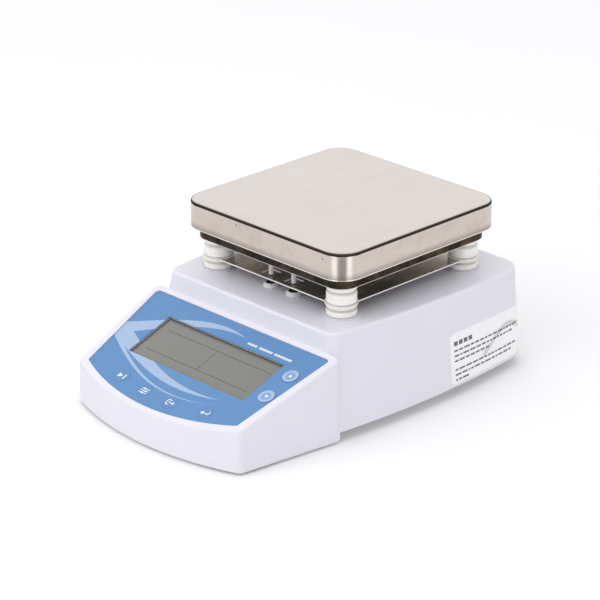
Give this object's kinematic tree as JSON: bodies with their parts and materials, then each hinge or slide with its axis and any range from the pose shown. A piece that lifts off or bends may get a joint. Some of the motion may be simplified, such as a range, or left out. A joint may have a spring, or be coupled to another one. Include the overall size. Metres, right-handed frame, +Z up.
{
  "type": "magnetic stirrer",
  "caption": "Laboratory magnetic stirrer with a heated square steel plate on ceramic standoffs, a wedge-shaped plastic housing and a sloping keypad with a display.",
  "frame": {"origin": "on the floor under the middle of the footprint's bounding box", "axes": "+X to the operator's right, +Y from the console towards the connector plate, +Z up"},
  "size_m": [0.1718, 0.2572, 0.112],
  "materials": {
    "housing_plastic": "fine satin moulding",
    "overlay_print": "printed film, satin",
    "arrow_key": "printed film, satin",
    "function_key": "printed film, satin",
    "display": "smooth",
    "black_plastic": "fine texture",
    "rocker_plastic": "smooth",
    "stainless_plate": "satin",
    "browned_steel": "browned by heat, bare edges",
    "polished_shield": "polished",
    "cast_aluminium": "machined",
    "element_sheath": "oxidised",
    "ceramic_fibre": "felted",
    "ceramic": "glazed",
    "silicone": "smooth",
    "foot_rubber": "matte",
    "bush_nylon": "satin",
    "lead_sleeve": "braided",
    "zinc_sheet": "zinc plated",
    "zinc_fastener": "zinc plated",
    "bronze": "sintered",
    "ferrite": "sintered",
    "laminations": "lacquered",
    "ground_steel": "ground",
    "nickel": "nickel plated",
    "connector_plate": "powder coat",
    "fuse_glass": "clear",
    "circuit_board": "solder mask"
  },
  "bodies": {
    "housing": {"upper_housing": "housing_plastic", "base_plate": "zinc_sheet", "base_screws": "zinc_fastener", "board_screws": "zinc_fastener", "panel_overlay": "overlay_print", "key_switches": "black_plastic", "control_board": "circuit_board", "display_cell": "display", "display_frame": "black_plastic", "top_pan": "stainless_plate", "lower_pan": "browned_steel", "heat_spreader": "cast_aluminium", "heating_coil": "element_sheath", "insulation_board": "ceramic_fibre", "plate_sensor": "element_sheath", "heat_shield": "polished_shield", "standoff_studs": "zinc_fastener", "standoff_nuts": "zinc_fastener", "standoff_washers": "silicone", "motor_can": "zinc_sheet", "motor_bearings": "bronze", "motor_stator": "ferrite", "motor_bracket": "zinc_sheet", "motor_grommets": "foot_rubber", "rear_panel": "connector_plate", "inlet_body": "black_plastic", "inlet_pins": "nickel", "switch_body": "black_plastic", "probe_socket": "nickel", "power_board": "circuit_board", "transformer": "laminations", "foot_front_left": "foot_rubber", "upper_insulator_front_left": "ceramic", "lower_insulator_front_left": "ceramic", "foot_front_right": "foot_rubber", "upper_insulator_front_right": "ceramic", "lower_insulator_front_right": "ceramic", "foot_rear_left": "foot_rubber", "upper_insulator_rear_left": "ceramic", "lower_insulator_rear_left": "ceramic", "foot_rear_right": "foot_rubber", "upper_insulator_rear_right": "ceramic", "lower_insulator_rear_right": "ceramic", "lead_bush_left": "bush_nylon", "heater_lead_left": "lead_sleeve", "lead_bush_right": "bush_nylon", "heater_lead_right": "lead_sleeve"},
    "rotor": {"motor_shaft": "ground_steel", "motor_armature": "laminations", "magnet_carrier": "cast_aluminium", "magnets": "nickel"},
    "power_rocker": {"rocker": "rocker_plastic"},
    "fuse_holder": {"fuse_drawer": "black_plastic", "fuse": "fuse_glass"},
    "up_button": {"key_up": "arrow_key"},
    "down_button": {"key_down": "arrow_key"},
    "start_button": {"key_start": "function_key"},
    "set_button": {"key_set": "function_key"},
    "exit_button": {"key_exit": "function_key"},
    "enter_button": {"key_enter": "function_key"}
  },
  "joints": [
    {"name": "stir_spin", "type": "hinge", "parent": "housing", "child": "rotor", "pos_m": [0, 0.03965, 0.028], "axis": [0, 0, 1], "continuous": true},
    {"name": "up_press", "type": "slide", "parent": "housing", "child": "up_button", "axis": [0, 0.3371, -0.9415], "range_m": [0, 0.0005], "stiffness_N_per_m": 3000},
    {"name": "down_press", "type": "slide", "parent": "housing", "child": "down_button", "axis": [0, 0.3371, -0.9415], "range_m": [0, 0.0005], "stiffness_N_per_m": 3000},
    {"name": "start_press", "type": "slide", "parent": "housing", "child": "start_button", "axis": [0, 0.3371, -0.9415], "range_m": [0, 0.0005], "stiffness_N_per_m": 3000},
    {"name": "set_press", "type": "slide", "parent": "housing", "child": "set_button", "axis": [0, 0.3371, -0.9415], "range_m": [0, 0.0005], "stiffness_N_per_m": 3000},
    {"name": "exit_press", "type": "slide", "parent": "housing", "child": "exit_button", "axis": [0, 0.3371, -0.9415], "range_m": [0, 0.0005], "stiffness_N_per_m": 3000},
    {"name": "enter_press", "type": "slide", "parent": "housing", "child": "enter_button", "axis": [0, 0.3371, -0.9415], "range_m": [0, 0.0005], "stiffness_N_per_m": 3000},
    {"name": "power_tilt", "type": "hinge", "parent": "housing", "child": "power_rocker", "pos_m": [0.038, 0.11975, 0.029], "axis": [-1, 0, 0], "range_deg": [0, 14]},
    {"name": "fuse_slide", "type": "slide", "parent": "housing", "child": "fuse_holder", "axis": [0, 1, 0], "range_m": [0, 0.014]}
  ]
}
